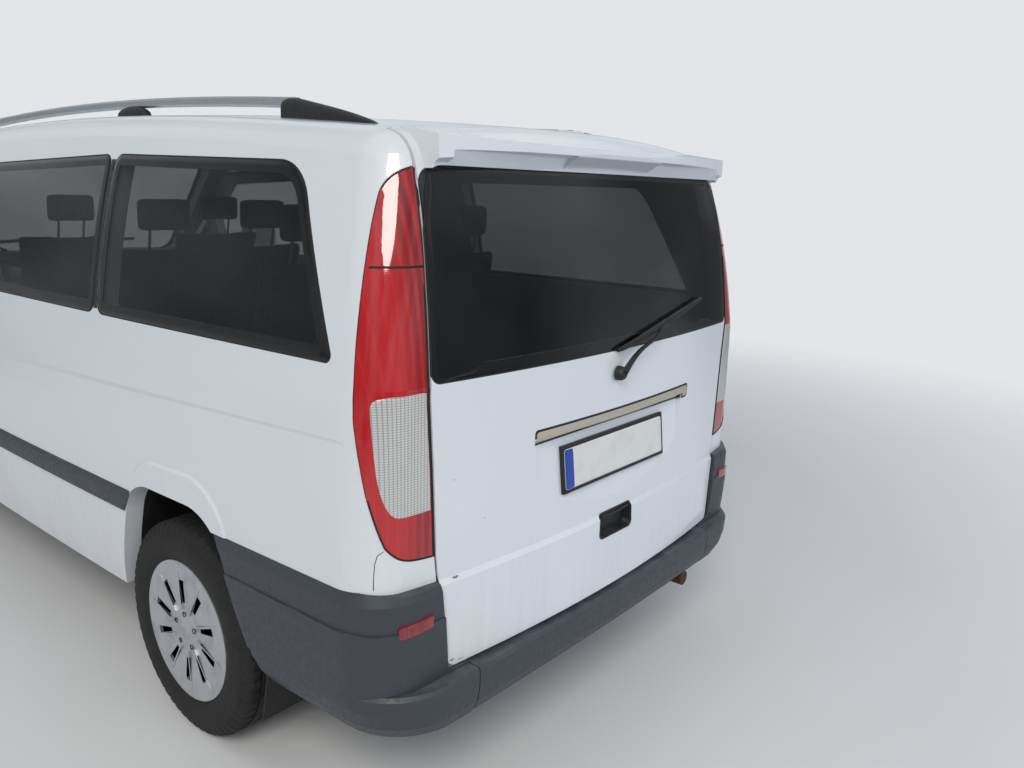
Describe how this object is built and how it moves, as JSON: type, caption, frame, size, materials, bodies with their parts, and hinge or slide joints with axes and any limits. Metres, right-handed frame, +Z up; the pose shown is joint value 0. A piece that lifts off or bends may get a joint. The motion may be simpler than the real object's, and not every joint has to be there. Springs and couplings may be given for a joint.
{
  "type": "mid-size passenger minibus",
  "caption": "Long-bodied one-box minibus with raked windscreen, tinted side glass, grey plastic bumpers, roof rails, opening front doors, bonnet and tailgate, and steered front wheels.",
  "frame": {"origin": "on the ground under the middle of the overall length, on the car's centre plane", "axes": "+X forwards along the car, +Y to its left, +Z up"},
  "size_m": [5.0126, 2.36, 1.9113],
  "materials": {
    "paint": "gloss",
    "glass": "gloss",
    "bumper": "matte",
    "lamp": "gloss",
    "clear": "gloss",
    "trim": "matte",
    "fabric": "matte",
    "steel": "satin",
    "rail": "satin",
    "tyre": "matte",
    "wheel": "satin",
    "iron": "matte"
  },
  "bodies": {
    "root": {"side_left": "paint", "side_right": "paint", "roof_panel": "paint", "windscreen": "glass", "side_glass": "glass", "sliding_door": "paint", "sliding_door_glass": "glass", "tail_lamps": "lamp", "rear_bumper_centre": "bumper", "rear_bumper_corners": "bumper", "cowl": "trim", "front_wings": "paint", "headlamps": "clear", "grille": "trim", "front_bumper": "bumper", "floor_pan": "paint", "front_frame": "paint", "front_subframe": "steel", "rear_subframe": "steel", "engine_block": "iron", "engine_mounts": "steel", "drive_line": "steel", "fuel_tank": "trim", "exhaust": "steel", "mud_flaps": "tyre", "dashboard": "trim", "seat_driver": "fabric", "seat_passenger": "fabric", "bench_middle": "fabric", "bench_rear": "fabric", "roof_rails": "rail", "rail_feet": "bumper"},
    "door_left": {"front_door_left": "paint", "door_glass_left": "glass", "mirror_left": "bumper"},
    "door_right": {"front_door_right": "paint", "door_glass_right": "glass", "mirror_right": "bumper"},
    "tailgate": {"tailgate": "paint", "tailgate_glass": "glass", "rear_plate": "bumper", "rear_wiper": "bumper"},
    "bonnet": {"bonnet": "paint"},
    "steering": {"steering_wheel": "trim"},
    "knuckle_left": {"knuckle_left": "iron"},
    "knuckle_right": {"knuckle_right": "iron"},
    "wheel_fl": {"tyre_fl": "tyre", "wheel_fl": "wheel"},
    "wheel_fr": {"tyre_fr": "tyre", "wheel_fr": "wheel"},
    "wheel_rl": {"tyre_rl": "tyre", "wheel_rl": "wheel"},
    "wheel_rr": {"tyre_rr": "tyre", "wheel_rr": "wheel"}
  },
  "joints": [
    {"name": "front_door_left", "type": "hinge", "parent": "root", "child": "door_left", "pos_m": [1.0865, 0.9286, 0.755], "axis": [0, 0, -1], "range_deg": [0, 65]},
    {"name": "front_door_right", "type": "hinge", "parent": "root", "child": "door_right", "pos_m": [1.0865, -0.9286, 0.755], "axis": [0, 0, 1], "range_deg": [0, 65]},
    {"name": "tailgate", "type": "hinge", "parent": "root", "child": "tailgate", "pos_m": [-2.2685, 0, 1.8111], "axis": [0, 1, 0], "range_deg": [0, 85]},
    {"name": "bonnet", "type": "hinge", "parent": "root", "child": "bonnet", "pos_m": [1.8405, 0, 1.1777], "axis": [0, -1, 0], "range_deg": [0, 50]},
    {"name": "steering_wheel", "type": "hinge", "parent": "root", "child": "steering", "pos_m": [1.04405, 0.37, 1.05339], "axis": [-0.9063, 0, 0.4226], "range_deg": [-540, 540]},
    {"name": "steer_left", "type": "hinge", "parent": "root", "child": "knuckle_left", "pos_m": [1.63, 0.68, 0.335], "axis": [0, 0, 1], "range_deg": [-33, 33]},
    {"name": "steer_right", "type": "hinge", "parent": "root", "child": "knuckle_right", "pos_m": [1.63, -0.68, 0.335], "axis": [0, 0, 1], "range_deg": [-33, 33]},
    {"name": "spin_front_left", "type": "hinge", "parent": "knuckle_left", "child": "wheel_fl", "pos_m": [1.63, 0.812, 0.335], "axis": [0, 1, 0], "continuous": true},
    {"name": "spin_front_right", "type": "hinge", "parent": "knuckle_right", "child": "wheel_fr", "pos_m": [1.63, -0.812, 0.335], "axis": [0, 1, 0], "continuous": true},
    {"name": "spin_rear_left", "type": "hinge", "parent": "root", "child": "wheel_rl", "pos_m": [-1.57, 0.812, 0.335], "axis": [0, 1, 0], "continuous": true},
    {"name": "spin_rear_right", "type": "hinge", "parent": "root", "child": "wheel_rr", "pos_m": [-1.57, -0.812, 0.335], "axis": [0, 1, 0], "continuous": true}
  ],
  "couplings": [
    {"joint": "steer_right", "follows": "steer_left", "ratio": 1},
    {"joint": "steering_wheel", "follows": "steer_left", "ratio": -16.364}
  ]
}
